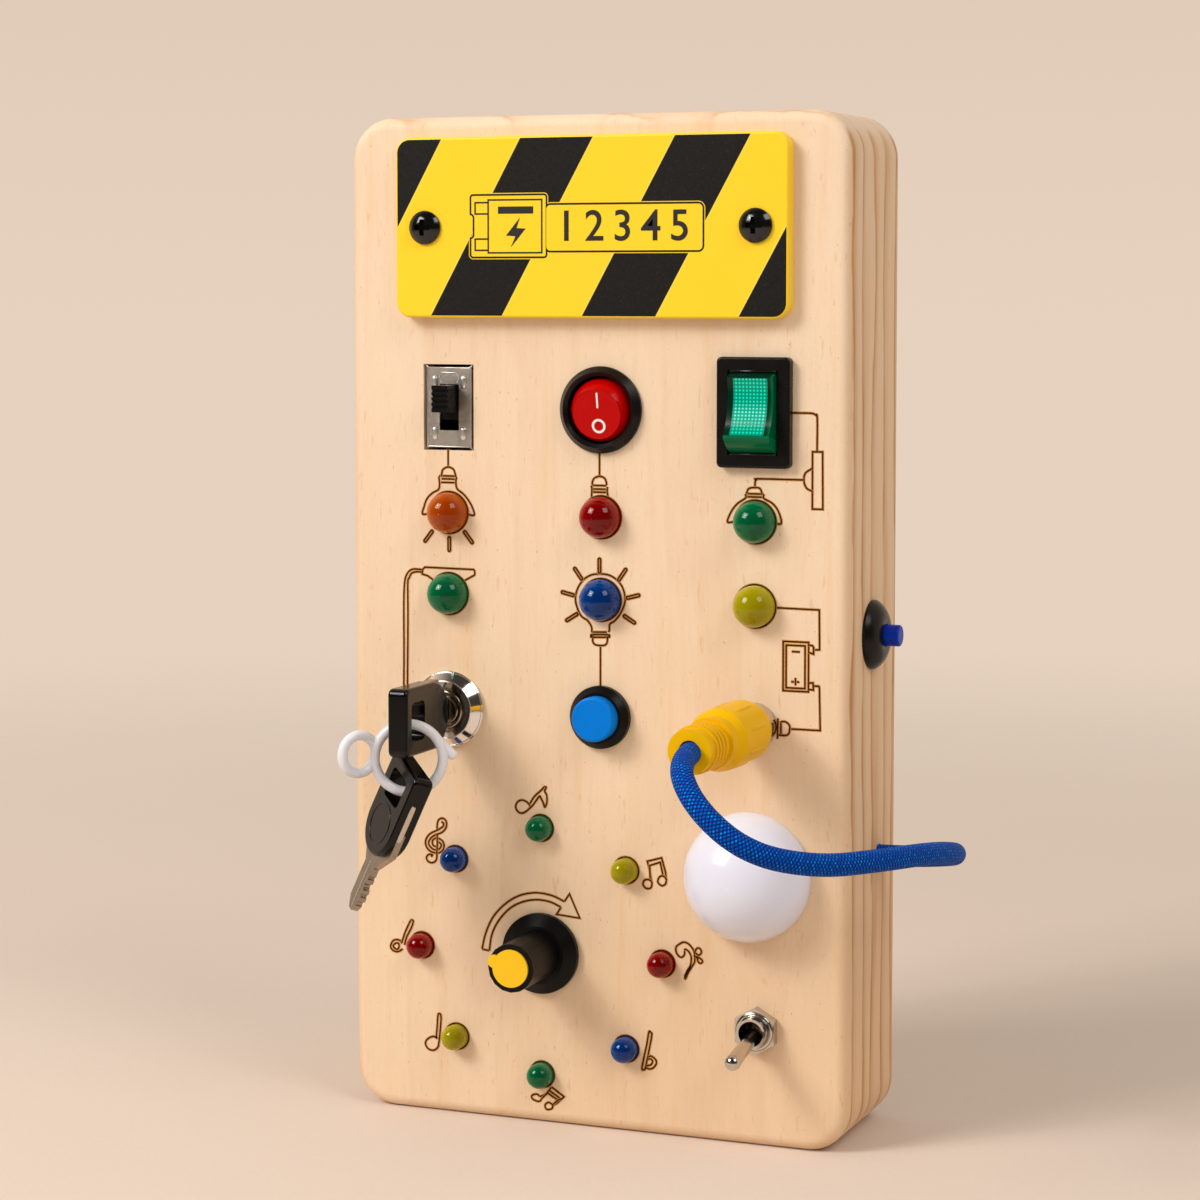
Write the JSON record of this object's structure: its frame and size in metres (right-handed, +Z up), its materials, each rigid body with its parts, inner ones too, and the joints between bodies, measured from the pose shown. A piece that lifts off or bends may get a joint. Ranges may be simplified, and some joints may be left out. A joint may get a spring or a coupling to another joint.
{
  "type": "busy board",
  "caption": "Wooden activity board with rocker, slide, toggle and push switches, a key lock with tied keys, coloured lamps, a dome lamp, a dial with a lamp ring and a tethered plug.",
  "frame": {"origin": "middle of the flat base, half way through the board's depth", "axes": "+X to the right seen from the front, +Y from the front face to the back, +Z up; the controls face -Y"},
  "size_m": [0.1277, 0.0856, 0.2],
  "materials": {
    "maple": "smooth unvarnished pale wood with burnt line art",
    "plywood": "satin plywood",
    "dark_screw": "black oxide",
    "striped_board": "satin yellow paint with black hazard stripes and plain symbols",
    "blue_plastic": "satin blue",
    "steel": "satin steel",
    "brown_board": "phenolic sheet",
    "black_plastic": "satin black",
    "red_lens": "tinted clear plastic",
    "green_lens": "tinted clear plastic",
    "orange_lens": "tinted clear plastic",
    "blue_lens": "tinted clear plastic",
    "yellow_lens": "tinted clear plastic",
    "white_lens": "frosted white diffuser",
    "green_board": "solder mask",
    "nickel": "bright nickel plate",
    "white_silicone": "soft matte white",
    "yellow_plastic": "satin yellow",
    "blue_cord": "fine braided sleeve",
    "cell_jacket": "plain dark jacket"
  },
  "bodies": {
    "board": {"wood_body": "maple", "rear_cover": "plywood", "rear_screws": "dark_screw", "sign_plate": "striped_board", "sign_plate_screws": "dark_screw", "slide_switch_case": "steel", "slide_switch_base": "brown_board", "round_rocker_housing": "black_plastic", "square_rocker_housing": "black_plastic", "lamp_orange": "orange_lens", "lamp_red": "red_lens", "lamp_green_right": "green_lens", "lamp_green_left": "green_lens", "lamp_blue": "blue_lens", "lamp_yellow": "yellow_lens", "ring_lamps_green": "green_lens", "ring_lamps_yellow": "yellow_lens", "ring_lamps_red": "red_lens", "ring_lamps_blue": "blue_lens", "lamp_leads": "steel", "ring_board": "green_board", "dome_lens": "white_lens", "dome_board": "green_board", "dome_chip": "yellow_plastic", "lock_housing": "nickel", "panel_nuts_large": "nickel", "push_button_housing": "black_plastic", "push_button_nut": "nickel", "side_button_housing": "black_plastic", "jack_socket": "nickel", "tether_cord": "blue_cord", "cord_stop": "black_plastic", "panel_nuts_small": "nickel", "pot_body": "steel", "pot_nut": "nickel", "toggle_body": "black_plastic", "toggle_bushing": "nickel", "battery_tray": "black_plastic", "batteries": "cell_jacket", "battery_contacts": "steel", "battery_door": "black_plastic", "switch_terminals": "steel"},
    "slide_knob": {"slide_switch_slider": "black_plastic"},
    "round_rocker": {"round_rocker_cap": "red_lens"},
    "square_rocker": {"square_rocker_cap": "green_lens"},
    "lock_core": {"lock_plug": "nickel"},
    "key": {"key_blade": "nickel", "key_bow": "black_plastic"},
    "key_tie": {"key_tie": "white_silicone"},
    "spare_key": {"spare_key_blade": "nickel", "spare_key_bow": "black_plastic"},
    "push_button": {"push_button_cap": "blue_plastic"},
    "side_button": {"side_button_cap": "blue_plastic"},
    "tether_plug": {"plug_body": "yellow_plastic", "plug_pin": "nickel"},
    "dial": {"pot_shaft": "steel", "knob_body": "black_plastic", "knob_pointer": "yellow_plastic"},
    "toggle": {"toggle_lever": "nickel"}
  },
  "joints": [
    {"name": "slide_switch", "type": "slide", "parent": "board", "child": "slide_knob", "axis": [0, 0, -1], "range_m": [0, 0.0036]},
    {"name": "round_rocker_tilt", "type": "hinge", "parent": "board", "child": "round_rocker", "pos_m": [0.00178, -0.0145, 0.14258], "axis": [-1, 0, 0], "range_deg": [0, 20]},
    {"name": "square_rocker_tilt", "type": "hinge", "parent": "board", "child": "square_rocker", "pos_m": [0.0336, -0.0155, 0.14258], "axis": [1, 0, 0], "range_deg": [0, 24]},
    {"name": "lock_turn", "type": "hinge", "parent": "board", "child": "lock_core", "pos_m": [-0.03097, -0.016, 0.08236], "axis": [0, 1, 0], "range_deg": [0, 90]},
    {"name": "key_pull", "type": "slide", "parent": "lock_core", "child": "key", "axis": [0, -1, 0], "range_m": [0, 0.012]},
    {"name": "tie_swing", "type": "hinge", "parent": "key", "child": "key_tie", "pos_m": [-0.03097, -0.03495, 0.07501], "axis": [0.3746, -0.9272, 0], "range_deg": [-8, 40]},
    {"name": "spare_key_swing", "type": "hinge", "parent": "key_tie", "child": "spare_key", "pos_m": [-0.03097, -0.03495, 0.06836], "axis": [0.9272, 0.3746, 0], "range_deg": [-40, 3]},
    {"name": "push_button_press", "type": "slide", "parent": "board", "child": "push_button", "axis": [0, 1, 0], "range_m": [0, 0.0022], "stiffness_N_per_m": 150},
    {"name": "side_button_press", "type": "slide", "parent": "board", "child": "side_button", "axis": [-1, 0, 0], "range_m": [0, 0.0018], "stiffness_N_per_m": 150},
    {"name": "plug_pull", "type": "slide", "parent": "board", "child": "tether_plug", "axis": [0, -1, 0], "range_m": [0, 0.014], "deforming": ["tether_cord"]},
    {"name": "dial_turn", "type": "hinge", "parent": "board", "child": "dial", "pos_m": [-0.01092, -0.016, 0.0345], "axis": [0, 1, 0], "range_deg": [-79, 221]},
    {"name": "toggle_flip", "type": "hinge", "parent": "board", "child": "toggle", "pos_m": [0.03439, -0.0155, 0.0231], "axis": [-1, 0, 0], "range_deg": [0, 24]}
  ]
}
